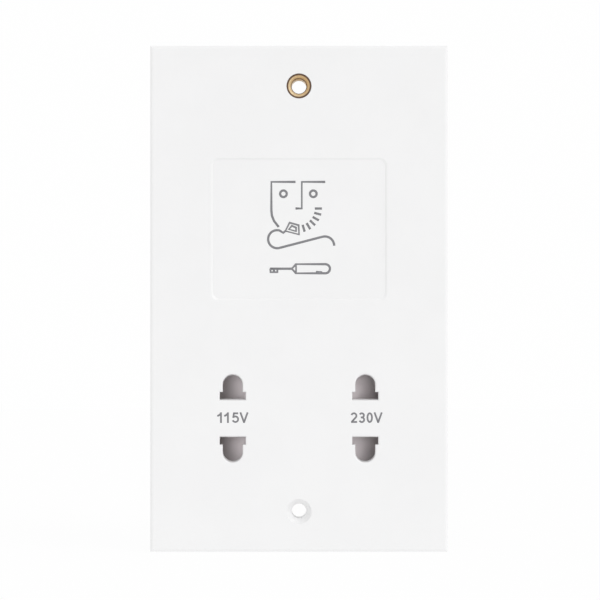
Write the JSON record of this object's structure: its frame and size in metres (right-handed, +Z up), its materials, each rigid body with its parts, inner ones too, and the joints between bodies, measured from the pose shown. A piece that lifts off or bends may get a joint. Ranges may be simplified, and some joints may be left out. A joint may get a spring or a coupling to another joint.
{
  "type": "shaver socket",
  "caption": "Dual-voltage shaver socket: white wall plate with pin openings over a sprung shutter slide, and an isolating transformer in a deep rear housing.",
  "frame": {"origin": "the plate's centre on the wall plane, midway between the two fixing holes", "axes": "+X to the right as the user sees it, +Z up, +Y into the wall along the fixing holes"},
  "size_m": [0.0844, 0.0485, 0.1436],
  "materials": {
    "plate_white": "moulded white, fine satin gloss",
    "housing_white": "moulded off-white, fine matt texture",
    "shutter_grey": "moulded light warm grey, satin",
    "carrier_ivory": "moulded ivory, matt",
    "block_grey": "moulded dark grey, matt",
    "bobbin_natural": "moulded natural nylon",
    "cutout_black": "moulded black",
    "brass": "turned and pressed brass",
    "copper": "enamelled copper wire",
    "zinc_steel": "zinc plated",
    "spring_steel": "drawn spring wire",
    "core_steel": "laminated steel sheet",
    "lead_brown": "insulated wire",
    "lead_blue": "insulated wire",
    "lead_red": "insulated wire",
    "lead_yellow": "insulated wire",
    "lead_black": "insulated wire"
  },
  "bodies": {
    "base": {"front_plate": "plate_white", "earth_eyelet": "brass", "earth_strap": "brass", "rear_housing": "housing_white", "housing_screws": "zinc_steel", "shutter_spring": "spring_steel", "contact_carrier": "carrier_ivory", "contact_115v_live": "brass", "contact_115v_common": "brass", "contact_230v_live": "brass", "contact_230v_common": "brass", "common_link": "brass", "transformer_core": "core_steel", "transformer_bobbin": "bobbin_natural", "primary_winding": "copper", "secondary_winding": "copper", "core_screws": "zinc_steel", "thermal_cutout": "cutout_black", "terminal_block": "block_grey", "neutral_terminal": "brass", "earth_terminal": "brass", "line_terminal": "brass", "terminal_screws": "zinc_steel", "block_screws": "zinc_steel", "line_lead": "lead_brown", "neutral_lead": "lead_blue", "cutout_lead": "lead_brown", "lead_115v": "lead_red", "lead_230v": "lead_yellow", "lead_common": "lead_black"},
    "shutter": {"shutter_slide": "shutter_grey"}
  },
  "joints": [
    {"name": "shutter_travel", "type": "slide", "parent": "base", "child": "shutter", "axis": [1, 0, 0], "range_m": [-0.00795, 0.00795], "stiffness_N_per_m": 300, "deforming": ["shutter_spring"]}
  ]
}
